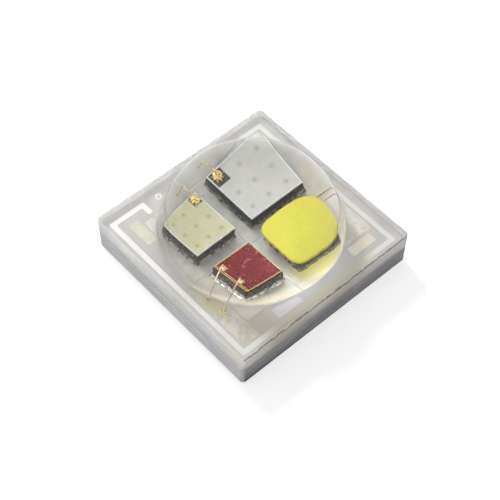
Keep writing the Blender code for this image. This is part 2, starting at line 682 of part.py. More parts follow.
def dome_mesh():
    """A profile turned about the upright axis: a foot fillet that rises from the film, then a round."""
    foot_turn = math.asin((DOME_FOOT_RADIUS + DOME_SINK) / (DOME_RADIUS + DOME_FOOT_RADIUS))
    inside_film = FILM_TOP - FILM_THICKNESS / 2
    profile = [(0, inside_film), (DOME_FOOT_REACH, inside_film)]
    for step in range(FOOT_RINGS + 1):
        turn = -math.pi / 2 - (math.pi / 2 - foot_turn) * step / FOOT_RINGS
        profile.append((DOME_FOOT_REACH + DOME_FOOT_RADIUS * math.cos(turn),
                        FILM_TOP + DOME_FOOT_RADIUS * (1 + math.sin(turn))))
    for step in range(1, DOME_RINGS):
        turn = foot_turn + (math.pi / 2 - foot_turn) * step / DOME_RINGS
        profile.append((DOME_RADIUS * math.cos(turn), DOME_CENTRE + DOME_RADIUS * math.sin(turn)))
    profile.append((0, DOME_CENTRE + DOME_RADIUS))

    builder = bmesh.new()
    chain = [builder.verts.new((x, 0, z)) for x, z in profile]
    edges = [builder.edges.new(pair) for pair in zip(chain, chain[1:])]
    bmesh.ops.spin(builder, geom=chain + edges, cent=(0, 0, 0), axis=(0, 0, 1), angle=2 * math.pi,
                   steps=DOME_SEGMENTS, use_merge=True)
    bmesh.ops.remove_doubles(builder, verts=builder.verts, dist=MERGE_DISTANCE)
    return finished_mesh("lens_dome", builder)


def make_lens(pockets, finish):
    film = plate("silicone_lens", body_outline(), LENS_BOTTOM, FILM_TOP, finish)
    dome = add_object("lens_dome", dome_mesh(), finish)
    combine(film, [dome], "UNION")
    combine(film, pockets.cutters, "DIFFERENCE")


def make_finishes():
    return {
        "ceramic": make_material("grey ceramic", (0.62, 0.62, 0.63), 0.55),
        "plating": make_material("silver plating", (0.78, 0.78, 0.76), 0.35, metallic=1.0),
        "land": make_material("satin plating", (0.60, 0.61, 0.58), 0.45, metallic=1.0),
        "solder": make_material("die solder", (0.70, 0.70, 0.68), 0.30, metallic=1.0),
        "carrier": make_material("dark carrier", (0.10, 0.10, 0.09), 0.50),
        "bond_pad": make_material("bond pad", (0.20, 0.20, 0.19), 0.40, metallic=1.0),
        "gold": make_material("gold", (0.83, 0.62, 0.28), 0.25, metallic=1.0),
        "blue_emitter": make_material("pale grey emitter", (0.70, 0.69, 0.66), 0.40),
        "green_emitter": make_material("pale green emitter", (0.72, 0.71, 0.55), 0.40),
        "white_emitter": make_material("pale emitter", (0.70, 0.70, 0.68), 0.40),
        "red_emitter": make_material("deep red emitter", (0.35, 0.06, 0.07), 0.35),
        "phosphor": make_material("yellow phosphor", (0.85, 0.80, 0.20), 0.60),
        "silicone": make_material("clear silicone", (0.95, 0.95, 0.93), 0.05, transmission=1.0),
    }


def make_part():
    for old in list(bpy.data.objects):
        bpy.data.objects.remove(old, do_unlink=True)
    finishes = make_finishes()
    pockets = Pockets(finishes["silicone"])
    plan = land_plan()
    vias = via_places(plan)
    make_solder_pads(vias, finishes["plating"])
    make_thermal_pad(finishes["plating"])
    make_ceramic(vias, finishes["ceramic"])
    make_lands(plan, pockets, finishes["land"])
    make_frame_and_marks(plan, pockets, finishes["plating"])

    blue_pad = make_cornered_die(BLUE, BLUE_BOND_PAD_SIDE, BLUE_BOND_PAD_SIDE, False,
                                 pockets, finishes)
    green_pad = make_cornered_die(GREEN, GREEN_BOND_PAD_SIDE, GREEN_BOND_PAD_SIDE, True,
                                  pockets, finishes)
    white_pad = make_cornered_die(WHITE, WHITE_BOND_PAD_LENGTH, WHITE_BOND_PAD_WIDTH, True,
                                  pockets, finishes)
    make_red_die(pockets, finishes)
    runs = wire_runs(plan, blue_pad, green_pad, white_pad)
    make_phosphor(runs, pockets, finishes["phosphor"])
    make_wires(runs, pockets, finishes["gold"])
    make_lens(pockets, finishes["silicone"])


make_part()
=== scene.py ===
# Four-colour ceramic LED: bare dies and gold wires under one clear moulded silicone lens
import math

import bpy
import numpy as np
from mathutils import Matrix, Vector


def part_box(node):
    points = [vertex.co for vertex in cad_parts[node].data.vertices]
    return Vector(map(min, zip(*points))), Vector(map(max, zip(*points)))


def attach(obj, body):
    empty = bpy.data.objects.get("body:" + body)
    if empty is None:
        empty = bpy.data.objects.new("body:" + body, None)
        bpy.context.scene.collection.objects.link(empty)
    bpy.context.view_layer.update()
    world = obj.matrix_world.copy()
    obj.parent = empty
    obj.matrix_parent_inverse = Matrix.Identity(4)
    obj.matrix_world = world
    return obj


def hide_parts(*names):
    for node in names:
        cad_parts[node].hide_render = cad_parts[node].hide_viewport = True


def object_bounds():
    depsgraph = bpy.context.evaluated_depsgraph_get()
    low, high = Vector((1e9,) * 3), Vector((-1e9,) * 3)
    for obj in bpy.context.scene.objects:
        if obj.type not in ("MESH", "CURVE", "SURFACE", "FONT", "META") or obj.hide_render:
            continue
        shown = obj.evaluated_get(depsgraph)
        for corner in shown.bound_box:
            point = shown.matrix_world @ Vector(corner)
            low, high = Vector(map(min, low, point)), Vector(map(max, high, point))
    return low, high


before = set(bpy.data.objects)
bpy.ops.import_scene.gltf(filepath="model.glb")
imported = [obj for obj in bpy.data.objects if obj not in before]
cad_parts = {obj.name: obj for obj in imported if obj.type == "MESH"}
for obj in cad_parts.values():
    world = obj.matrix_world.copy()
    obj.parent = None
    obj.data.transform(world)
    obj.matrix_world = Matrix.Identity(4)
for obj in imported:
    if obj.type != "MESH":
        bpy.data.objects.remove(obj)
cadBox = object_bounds()
scene = bpy.context.scene
print("frame:", len(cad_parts), "nodes")

um = 0.000001  # one micrometre in metres


# Camera first: the place that the photograph was taken from
cameraSetup = {
    "azimuth": 47.73,          # degrees round from looking along +Y
    "elevation": 54.45,
    "roll": 0.607,
    "distance": 0.029355,      # from the middle of the underside
    "aside": -40.5 * um,
    "above": 43.2 * um,
    "lens": 91.29,             # millimetres on a 36 mm sensor
}


def makeCamera():
    setup = cameraSetup
    azimuth, elevation, roll = (math.radians(setup[key]) for key in ("azimuth", "elevation", "roll"))
    back = Vector((math.sin(azimuth) * math.cos(elevation), -math.cos(azimuth) * math.cos(elevation),
                   math.sin(elevation)))
    level = Vector((math.cos(azimuth), math.sin(azimuth), 0))
    upright = back.cross(level)
    right = level * math.cos(roll) + upright * math.sin(roll)
    up = upright * math.cos(roll) - level * math.sin(roll)
    data = bpy.data.cameras.new("camera")
    data.lens, data.sensor_width = setup["lens"], 36
    data.clip_start, data.clip_end = 0.001, 2
    camera = bpy.data.objects.new("camera", data)
    scene.collection.objects.link(camera)
    camera.matrix_world = Matrix((right, up, back)).transposed().to_4x4()
    camera.location = right * setup["aside"] + up * setup["above"] + back * setup["distance"]
    scene.camera = camera


makeCamera()
print("camera: made")


# Sizes read from the frame
def nodeBox(name):
    low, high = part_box(name)
    return np.array(low), np.array(high)


def dieBox(name):
    # the die's middle, half sizes, foot and top
    low, high = nodeBox(f"{name}_die_carrier")
    return (low + high)[:2] / 2, (high - low)[:2] / 2, low[2], high[2]


lensLow, lensHigh = nodeBox("silicone_lens")
tileLow, tileHigh = nodeBox("ceramic_substrate")
landTop = nodeBox("blue_die_land")[1][2]
bodyHalf = lensHigh[0]


# Shader nodes
def addNode(tree, kind, inputs=None, **settings):
    # places a node, sets its settings, and fills or links its inputs by name or number
    node = tree.nodes.new("ShaderNode" + kind)
    for key, value in settings.items():
        setattr(node, key, value)
    for key, value in (inputs or {}).items():
        if isinstance(value, bpy.types.NodeSocket):
            tree.links.new(value, node.inputs[key])
        else:
            node.inputs[key].default_value = value
    return node


def calc(tree, operation, first, second=0.5):
    return addNode(tree, "Math", {0: first, 1: second}, operation=operation).outputs[0]


def multiply(tree, first, *others):
    for other in others:
        first = calc(tree, "MULTIPLY", first, other)
    return first


def spread(tree, value, start, end, least=0.0, most=1.0, smooth=False):
    # least at start and most at end, in a straight or a smooth run
    node = addNode(tree, "MapRange", {"Value": value, "From Min": start, "From Max": end, "To Min": least,
                                      "To Max": most})
    node.interpolation_type = "SMOOTHSTEP" if smooth else "LINEAR"
    return node.outputs["Result"]


def blendColour(tree, share, first, second):
    return addNode(tree, "Mix", {0: share, 6: first, 7: second}, data_type="RGBA").outputs[2]


def ownPlace(tree):
    return addNode(tree, "TexCoord").outputs["Object"]


def partsOf(tree, place):
    return addNode(tree, "SeparateXYZ", {0: place}).outputs


def scaleBy(tree, place, factors):
    return addNode(tree, "VectorMath", {0: place, 1: factors}, operation="MULTIPLY").outputs[0]


def distanceTo(tree, place, centre=(0, 0, 0)):
    return addNode(tree, "VectorMath", {0: place, 1: centre}, operation="DISTANCE").outputs["Value"]


def addNoise(tree, place, scale, detail, roughness=0.5, distortion=0.0):
    node = addNode(tree, "TexNoise", {"Vector": place, "Scale": scale, "Detail": detail,
                                      "Roughness": roughness, "Distortion": distortion})
    return node.outputs["Fac"]


# Shader groups that several finishes share
def newGroup(name, inputs=None, outputs=("Mask",)):
    # hands back the group, what it is given and what it puts out
    group = bpy.data.node_groups.new(name, "ShaderNodeTree")
    for label, value in (inputs or {}).items():
        kind = "NodeSocketVector" if isinstance(value, tuple) else "NodeSocketFloat"
        group.interface.new_socket(label, in_out="INPUT", socket_type=kind).default_value = value
    for label in outputs:
        kind = "NodeSocketVector" if label == "Normal" else "NodeSocketFloat"
        group.interface.new_socket(label, in_out="OUTPUT", socket_type=kind)
    return group, group.nodes.new("NodeGroupInput").outputs, group.nodes.new("NodeGroupOutput").inputs


def makeMottle():
    # clouds: two noises of different scale added, then stretched between two limits
    group, given, out = newGroup("mottle", {"Scale": 1000.0, "Low": 0.4, "High": 0.6})
    place = ownPlace(group)
    broad = addNoise(group, place, given["Scale"], 3.0)
    fine = addNoise(group, place, multiply(group, given["Scale"], 4.3), 4.0)
    both = calc(group, "ADD", multiply(group, broad, 0.65), multiply(group, fine, 0.35))
    group.links.new(spread(group, both, given["Low"], given["High"], smooth=True), out["Mask"])
    return group


def makeGrain():
    # grain: fine noise as a bump, and the same noise as a mask
    group, given, out = newGroup("grain", {"Scale": 20000.0, "Depth": um}, ("Normal", "Mask"))
    noise = addNoise(group, ownPlace(group), given["Scale"], 5.0, roughness=0.62)
    bump = addNode(group, "Bump", {"Height": noise, "Distance": given["Depth"]})
    group.links.new(bump.outputs["Normal"], out["Normal"])
    group.links.new(noise, out["Mask"])
    return group


def makeSpecks():
    # specks: the middles of scattered cells, kept where the cell's own random value is low
    group, given, out = newGroup("specks", {"Scale": 20000.0, "Size": 0.2, "Amount": 0.5})
    cells = addNode(group, "TexVoronoi", {"Vector": ownPlace(group), "Scale": given["Scale"]}).outputs
    near = spread(group, cells["Distance"], given["Size"], 0.0, smooth=True)
    random = addNode(group, "SeparateColor", {"Color": cells["Color"]}).outputs["Red"]
    chosen = calc(group, "GREATER_THAN", given["Amount"], random)
    group.links.new(multiply(group, near, chosen), out["Mask"])
    return group


def makeOutward():
    # outward: 0 under the dome and 1 under the flat film, by distance from the middle axis; the finishes use
    # it to paint light under the flat film
    group, _, out = newGroup("outward")
    away = distanceTo(group, scaleBy(group, ownPlace(group), (1, 1, 0)))
    group.links.new(spread(group, away, 1900 * um, 2200 * um, smooth=True), out["Mask"])
    return group


def makeRightShade():
    # painted right shade: painted shade on the body's +X faces, the side away from the key lamp; 1 at their
    # foot, less higher up, broken up by level streaks
    group, _, out = newGroup("painted right shade")
    place = ownPlace(group)
    parts = partsOf(group, place)
    side = spread(group, parts["X"], bodyHalf - 12 * um, bodyHalf - 6 * um)
    noise = addNoise(group, scaleBy(group, place, (0.1, 0.1, 1.4)), 6000.0, 4.0)
    streaks = spread(group, noise, 0.3, 0.6, 0.45)
    low = spread(group, parts["Z"], 550 * um, 80 * um, 0.42)
    group.links.new(multiply(group, side, streaks, low), out["Mask"])
    return group


gatherSizes = {                # each part's middle, where it starts and where it is full
    "Low": ((-900 * um, 0, 0), 1200 * um, 2400 * um),
    "High": ((-450 * um, 40 * um, 0), 1720 * um, 1880 * um),
    "Foot": ((0, 0, 0), 1000 * um, 1700 * um),
}


def makeGathered():
    # gathered: where the dome gathers the lamp's light on the lands. Low grows towards the side away from
    # the lamp, High is a crescent there and Foot a ring at the dome's foot; none is under the film
    group, given, out = newGroup("gathered", dict.fromkeys(gatherSizes, 0.1))
    flat = scaleBy(group, ownPlace(group), (1, 1, 0))
    total = 0.0
    for label, (middle, start, end) in gatherSizes.items():
        mask = spread(group, distanceTo(group, flat, middle), start, end, smooth=True)
        total = calc(group, "ADD", total, multiply(group, mask, given[label]))
    under = spread(group, distanceTo(group, flat), 1950 * um, 1750 * um)
    group.links.new(multiply(group, total, under), out["Mask"])
    return group


def makeDots():
    # dots: a soft spot in the middle of each cell of a square grid
    group, given, out = newGroup("dots", {"Start": (0, 0, 0), "Pitch": 300 * um, "Reach": 40 * um})
    apart = addNode(group, "VectorMath", {0: ownPlace(group), 1: given["Start"]}, operation="SUBTRACT")
    parts = partsOf(group, apart.outputs[0])
    squares = []
    for axis in ("X", "Y"):
        cells = calc(group, "DIVIDE", parts[axis], given["Pitch"])
        off = calc(group, "SUBTRACT", calc(group, "FRACT", cells))
        off = calc(group, "ABSOLUTE", multiply(group, off, given["Pitch"]))
        squares.append(calc(group, "POWER", off, 2.0))
    away = calc(group, "SQRT", calc(group, "ADD", *squares))
    group.links.new(spread(group, away, given["Reach"], 0.0, smooth=True), out["Mask"])
    return group


mottleGroup = makeMottle()
grainGroup = makeGrain()
specksGroup = makeSpecks()
outwardGroup = makeOutward()
rightShadeGroup = makeRightShade()
gatheredGroup = makeGathered()
dotsGroup = makeDots()


def placeGroup(tree, group, **values):
    node = tree.nodes.new("ShaderNodeGroup")
    node.node_tree = group
    for key, value in values.items():
        node.inputs[key.capitalize()].default_value = value
    return node.outputs


def clouds(tree, scale, low, high):
    return placeGroup(tree, mottleGroup, scale=scale, low=low, high=high)["Mask"]


def tint(red, green, blue):
    # display values from 0 to 255, as linear light
    values = np.array([red, green, blue]) / 255
    linear = np.where(values <= 0.04045, values / 12.92, ((values + 0.055) / 1.055) ** 2.4)
    return (*linear.tolist(), 1.0)


black = tint(0, 0, 0)
warm = tint(226, 210, 188)


def patchy(tree, colour, tone, share=0.42, scale=640.0, low=0.5, high=0.66):
    # a tone laid over a colour in clouds
    return blendColour(tree, multiply(tree, clouds(tree, scale, low, high), share), colour, tone)


def startMaterial(name, plain):
    # plain: the sockets that are the same all over
    material = bpy.data.materials.new(name)
    material.use_nodes = True
    shader = material.node_tree.nodes["Principled BSDF"]
    for key, value in plain.items():
        shader.inputs[key].default_value = value
    return material, material.node_tree, shader


def feed(tree, node, sources):
    for key, source in sources.items():
        tree.links.new(source, node.inputs[key])


def cloudyFinish(name, tones, gloss, cloudy, grainy, plain=None):
    # two tones in clouds, with grain that also varies the gloss: cloudy gives the clouds' scale and
    # limits, and grainy the grain's scale and depth
    material, tree, shader = startMaterial(name, plain or {})
    grain = placeGroup(tree, grainGroup, scale=grainy[0], depth=grainy[1])
    colour = blendColour(tree, clouds(tree, *cloudy), *(tint(*tone) for tone in tones))
    roughness = spread(tree, grain["Mask"], 0.3, 0.7, *gloss)
    feed(tree, shader, {"Base Color": colour, "Roughness": roughness, "Normal": grain["Normal"]})
    return material, tree, shader, colour


# Meshes
def putMesh(name, points, faces, material):
    mesh = bpy.data.meshes.new(name)
    mesh.from_pydata(points, [], faces)
    mesh.materials.append(material)
    piece = bpy.data.objects.new(name, mesh)
    scene.collection.objects.link(piece)
    return piece


def putGrid(name, grid, material, caps=True, sharp=None, poles=None, other=None):
    # a grid of rings (rows, columns, 3) becomes a skin that closes round each ring; caps add a pole
    # in the middle of the first and last ring, and without caps the last ring joins the first; other
    # is a second material and the rings between which it lies
    rows, columns = grid.shape[:2]
    points = grid.reshape(-1, 3)
    row = np.arange(rows - 1 if caps else rows)[:, None]
    column = np.arange(columns)[None, :]
    after = (row + 1) % rows
    beside = (column + 1) % columns
    quads = np.stack([row * columns + column, row * columns + beside,
                      after * columns + beside, after * columns + column], axis=-1).reshape(-1, 4)
    faces = quads.tolist()
    if caps:
        first, last = len(points), len(points) + 1
        ends = poles or (grid[0].mean(axis=0), grid[-1].mean(axis=0))
        points = np.vstack([points, *ends])
        around, following = column[0], beside[0]
        base = (rows - 1) * columns
        faces += np.stack([np.full(columns, first), following, around], axis=-1).tolist()
        faces += np.stack([np.full(columns, last), base + around, base + following], axis=-1).tolist()
    corners = points[quads]
    middle = points.mean(axis=0)
    one, two, three, four = (corners[:, step] - middle for step in range(4))
    volume = (one * (np.cross(two, three) + np.cross(three, four))).sum()
    if volume < 0:
        faces = [face[::-1] for face in faces]
    piece = putMesh(name, points.tolist(), faces, material)
    mesh = piece.data
    mesh.update()
    mesh.shade_smooth()
    if sharp:
        mesh.set_sharp_from_angle(angle=math.radians(sharp))
    if other:
        second, start, end = other
        mesh.materials.append(second)
        indices = np.zeros(len(faces), dtype=np.int32)
        indices[start * columns:end * columns] = 1
        mesh.polygons.foreach_set("material_index", indices)
    return piece


def settle(piece, slot, *nodes):
    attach(piece, "root")
    if nodes:
        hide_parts(*nodes)


def circleTurns(count):
    return np.linspace(0, 2 * math.pi, count, endpoint=False)


def circlePoints(angle, reach):
    return np.column_stack([reach * np.cos(angle), reach * np.sin(angle)])


def roundedOutline(halfX, halfY, radius, straight, arc):
    # counter-clockwise from the right side's foot: each side evenly, then a quarter circle
    run = np.linspace(0, 1, straight, endpoint=False)
    turn = np.linspace(0, math.pi / 2, arc, endpoint=False)
    inside = np.array([halfX - radius, halfY - radius])
    pieces = []
    for index, signs in enumerate(((1, 1), (-1, 1), (-1, -1), (1, -1))):
        quarter = index * math.pi / 2
        centre = inside * signs
        along = inside[(index + 1) % 2]
        normal = np.array([math.cos(quarter), math.sin(quarter)])
        ahead = np.array([-normal[1], normal[0]])
        start = centre + normal * radius - ahead * 2 * along
        pieces.append(start + ahead * (run * 2 * along)[:, None])
        pieces.append(centre + circlePoints(turn + quarter, radius))
    return np.vstack(pieces)


def ringAt(outline, height):
    return np.column_stack([outline, np.full(len(outline), height)])


def ringsOf(outlines, heights):
    # stacks outlines (each points, 2) at their heights into one grid
    return np.stack([ringAt(outline, height) for outline, height in zip(outlines, heights)])


def bodySquare(sizes, inset=0):
    # the package's own square, moved in
    half = bodyHalf - inset
    return roundedOutline(half, half, sizes["cornerRadius"] - inset, sizes["straight"], sizes["arc"])


def lengthsOf(vectors):
    return np.linalg.norm(vectors, axis=1)[:, None]


# Silicone lens: a film over the whole top and a dome, one moulding
lensSizes = {
    "filmThickness": 400 * um,
    "footRadius": 120 * um,
    "footSpace": 283 * um,     # from the foot's end to the package's side
    "domeSink": 200 * um,      # from the film's top down to the centre of the dome's round
    "edgeRound": 18 * um,
    "cornerRadius": 100 * um,
    "sunk": 2 * um,            # the underside wets what it covers
    "waver": 1.5 * um,         # how unevenly the saw ran
    "domeRings": 52,
    "footRings": 10,
    "filmRings": 9,
    "edgeRings": 6,
    "sideRings": 9,
    "straight": 72,
    "arc": 12,
}
edgeShadeSizes = {                 # painted shade: an uneven dark line under the film's top edge
    "depth": 24 * um,
    "swing": 160 * um,
    "core": 14 * um,
    "fringe": 42 * um,
}
siliconeIor = 1.41


def lensMaterial():
    material, tree, shader = startMaterial("clear silicone", {
        "IOR": siliconeIor, "Transmission Weight": 1.0, "Roughness": 0.012,
        "Base Color": (0.99, 0.99, 0.985, 1)})
    grain = placeGroup(tree, grainGroup, scale=7000.0, depth=0.2 * um)
    feed(tree, shader, {"Normal": grain["Normal"]})
    return material


def sawnMaterial():
    # the saw leaves the silicone's sides frosted; painted shade darkens the right (+X) side and lies as an
    # uneven dark line just under its top edge
    sizes = edgeShadeSizes
    material, tree, shader, colour = cloudyFinish(
        "sawn silicone", ((248, 247, 248), (232, 231, 232)), (0.6, 0.8), (1500.0, 0.3, 0.7), (9000.0, um),
        {"Transmission Weight": 0.72, "IOR": siliconeIor})
    # painted shade on the +X side, away from the key lamp
    colour = blendColour(tree, placeGroup(tree, rightShadeGroup)["Mask"], colour, tint(162, 158, 146))
    place = ownPlace(tree)
    parts = partsOf(tree, place)
    noise = addNoise(tree, place, 7000.0, 4.0, roughness=0.65)
    swing = multiply(tree, calc(tree, "SUBTRACT", noise), sizes["swing"])
    off = calc(tree, "SUBTRACT", parts["Z"], lensLow[2] + lensSizes["filmThickness"] - sizes["depth"])
    off = calc(tree, "ABSOLUTE", calc(tree, "ADD", off, swing))
    # painted shade: an uneven dark line under the top edge of the +X side
    edgeShade = spread(tree, off, sizes["fringe"], sizes["core"])
    right = spread(tree, parts["X"], bodyHalf - 24 * um, bodyHalf - 14 * um, 0.0, 0.85)
    colour = blendColour(tree, multiply(tree, edgeShade, right), colour, tint(70, 68, 62))
    feed(tree, shader, {"Base Color": colour})
    return material


def makeLens():
    # rings down a profile: the dome's arc, the foot's fillet, the film's flat that runs from a round to
    # a square, the rounded edge, the sawn side and the underside
    sizes = lensSizes
    filmTop = lensLow[2] + sizes["filmThickness"]
    centre = filmTop - sizes["domeSink"]
    radius = lensHigh[2] - centre
    reach = bodyHalf - sizes["footSpace"]
    footTurn = math.asin((sizes["footRadius"] + sizes["domeSink"]) / (radius + sizes["footRadius"]))
    square = bodySquare(sizes)
    ways = square / lengthsOf(square)

    turns = np.linspace(math.pi / 2, footTurn, sizes["domeRings"])[1:]
    outlines = [ways * radius * math.cos(turn) for turn in turns]
    heights = list(centre + radius * np.sin(turns))
    for turn in -math.pi / 2 - (math.pi / 2 - footTurn) * np.linspace(1, 0, sizes["footRings"])[1:]:
        outlines.append(ways * (reach + sizes["footRadius"] * math.cos(turn)))
        heights.append(filmTop + sizes["footRadius"] * (1 + math.sin(turn)))

    edge = sizes["edgeRound"]
    for share in np.linspace(0, 1, sizes["filmRings"])[1:]:
        outlines.append(ways * reach * (1 - share) + bodySquare(sizes, edge) * share)
        heights.append(filmTop)
    flatEnd = len(outlines) - 1
    for turn in np.linspace(0, math.pi / 2, sizes["edgeRings"])[1:]:
        outlines.append(bodySquare(sizes, edge * (1 - math.sin(turn))))
        heights.append(filmTop - edge * (1 - math.cos(turn)))
    sideStart = len(outlines)
    bottom = lensLow[2] - sizes["sunk"]
    for height in np.linspace(filmTop - edge, bottom, sizes["sideRings"])[1:]:
        outlines.append(square)
        heights.append(height)
    sideEnd = len(outlines)
    outlines += [square * 0.98, square * 0.5]
    heights += [bottom] * 2
    grid = ringsOf(outlines, heights)
    waver = np.random.default_rng(3).random((sideEnd - sideStart, len(square))) * sizes["waver"]
    grid[sideStart:sideEnd, :, :2] -= ways[None] * waver[..., None]
    piece = putGrid("moulded_lens", grid, lensMaterial(), sharp=50,
                    poles=((0, 0, lensHigh[2]), (0, 0, bottom)), other=(sawnMaterial(), flatEnd, sideEnd - 1))
    settle(piece, "clear_silicone", "silicone_lens")


makeLens()
print("lens: made")


# Ceramic tile: fired grey, sawn along its four sides
tileSizes = {
    "edgeRound": 22 * um,
    "cornerRadius": 100 * um,
    "waver": 1.6 * um,         # how unevenly the saw ran
    "lip": 30 * um,            # from the side to the face under the silicone
    "landHeight": 9 * um,      # how far the lands stand above the face
    "edgeRings": 6,
    "sideRings": 13,
    "straight": 90,
    "arc": 10,
}


def ceramicMaterial():
    material, tree, shader, colour = cloudyFinish(
        "fired ceramic", ((226, 225, 226), (212, 211, 213)), (0.5, 0.75), (900.0, 0.35, 0.65),
        (16000.0, 2.2 * um))
    # painted light: the face is paler under the flat film than under the dome
    colour = blendColour(tree, placeGroup(tree, outwardGroup)["Mask"], colour, tint(226, 224, 220))
    colour = patchy(tree, colour, warm)
    place = ownPlace(tree)
    side = spread(tree, partsOf(tree, place)["Z"], tileHigh[2], tileHigh[2] - 30 * um)
    noise = addNoise(tree, scaleBy(tree, place, (0.35, 0.35, 1.3)), 5000.0, 6.0, roughness=0.7)
    sawn = blendColour(tree, spread(tree, noise, 0.35, 0.72), tint(216, 215, 217), tint(184, 183, 187))
    # painted shade: the sawn side gets darker towards the foot of its +X face, away from the key lamp
    sawn = blendColour(tree, placeGroup(tree, rightShadeGroup)["Mask"], sawn, tint(92, 91, 98))
    feed(tree, shader, {"Base Color": blendColour(tree, side, colour, sawn)})
    return material


def makeTile():
    # the square's outline up its sides, with both edges rounded and a wavering saw cut
    sizes = tileSizes
    turns = np.linspace(0, math.pi / 2, sizes["edgeRings"])
    edge, lip = sizes["edgeRound"], sizes["lip"]
    sides = np.linspace(tileLow[2] + edge, tileHigh[2], sizes["sideRings"])[1:]
    insets = np.concatenate([edge * (1 - np.sin(turns)), np.zeros(len(sides)), [lip, lip * 1.1]])
    heights = np.concatenate([tileLow[2] + edge * (1 - np.cos(turns)), sides,
                              [tileHigh[2], landTop - sizes["landHeight"]]])
    rng = np.random.default_rng(7)
    square = bodySquare(sizes)
    waver = rng.random(len(square)) * sizes["waver"]
    grid = ringsOf([bodySquare(sizes, inset) for inset in insets], heights)
    away = square / lengthsOf(square)
    depth = waver[None] * rng.uniform(0.6, 1.0, (len(heights) - 3, 1))
    grid[:-3, :, :2] -= away[None] * depth[..., None]
    settle(putGrid("sawn_tile", grid, ceramicMaterial(), sharp=50), "grey_ceramic", "ceramic_substrate")


makeTile()
print("tile: made")


# Plated metal: the frame band, the marks, the lands and the underside's pads
def paint(material, *names):
    for name in names:
        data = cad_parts[name].data
        for index in range(len(data.materials)):
            data.materials[index] = material
        if not len(data.materials):
            data.materials.append(material)


bandGlow = {"start": -600 * um, "end": -4500 * um, "most": 0.16}  # along the frame band's diagonal
landShine = {"low": 0.12, "high": 0.18, "foot": 0.035}
stainAndLightShapes = {
    # phosphorLight: a pool of painted yellow light from the phosphor on the white die's land, with a glow
    "phosphorLight": {"from": (30 * um, 380 * um), "squeeze": (1.0, 0.72, 0.0), "start": 140 * um,
             "end": 500 * um, "share": 1.0, "colour": (255, 250, 150), "glow": 0.26},
    "flux": {"from": (240 * um, -20 * um), "squeeze": (0.55, 1.0, 0.0), "start": 40 * um,
             "end": 300 * um, "share": 0.6, "colour": (222, 214, 150)},
}


def landFinish(name, corner=None, stainOrLight=None):
    # satin plate in two greys with warm blotches and spots, and painted light that makes it paler under the
    # flat film; stainOrLight lays a soft tone near
    # a corner of what caused it: a stain for the flux, and a pool of painted yellow light from the phosphor
    # with a glow
    material, tree, shader, colour = cloudyFinish(
        name, ((212, 211, 206), (196, 194, 188)), (0.5, 0.7), (1500.0, 0.38, 0.66), (26000.0, 0.9 * um),
        {"Metallic": 0.3, "Emission Strength": 1.0})
    # painted light: the plate is paler under the flat film than under the dome
    outward = multiply(tree, placeGroup(tree, outwardGroup)["Mask"], 0.8)
    colour = patchy(tree, blendColour(tree, outward, colour, tint(255, 252, 243)), warm)
    colour = patchy(tree, colour, tint(160, 162, 146), 0.3, 2300.0, 0.48, 0.62)
    gathered = placeGroup(tree, gatheredGroup, **landShine)["Mask"]
    glow = blendColour(tree, gathered, black, tint(255, 244, 204))
    if stainOrLight:
        middle = (corner[0] + stainOrLight["from"][0], corner[1] + stainOrLight["from"][1], landTop)
        apart = addNode(tree, "VectorMath", {0: ownPlace(tree), 1: middle}, operation="SUBTRACT")
        away = distanceTo(tree, scaleBy(tree, apart.outputs[0], stainOrLight["squeeze"]))
        near = spread(tree, away, stainOrLight["end"], stainOrLight["start"], 0.0, stainOrLight["share"], smooth=True)
        tone = tint(*stainOrLight["colour"])
        colour = blendColour(tree, near, colour, tone)
        if "glow" in stainOrLight:    # painted light: the phosphor's yellow light on the land, given back as a glow
            glow = blendColour(tree, multiply(tree, near, stainOrLight["glow"]), glow, tone)
    feed(tree, shader, {"Base Color": colour, "Emission Color": glow})
    return material


def bandFinish():
    # silver, duller along the middle of its right run, and with a left corner that catches the lamp
    material, tree, shader, colour = cloudyFinish(
        "silver plating", ((255, 255, 253), (246, 245, 243)), (0.3, 0.5), (1500.0, 0.3, 0.7),
        (30000.0, 0.6 * um), {"Metallic": 0.15, "Emission Strength": 1.0})
    parts = partsOf(tree, ownPlace(tree))
    right = spread(tree, parts["X"], 1900 * um, 2050 * um)
    inner = spread(tree, calc(tree, "ABSOLUTE", parts["Y"]), 1900 * um, 1100 * um, 0.0, 0.85, smooth=True)
    colour = blendColour(tree, multiply(tree, right, inner), colour, tint(222, 213, 190))
    lit = spread(tree, calc(tree, "ADD", parts["X"], parts["Y"]), bandGlow["start"], bandGlow["end"], 0.0,
                 bandGlow["most"])
    feed(tree, shader, {"Base Color": colour,
                        "Emission Color": blendColour(tree, lit, black, tint(255, 252, 250))})
    return material


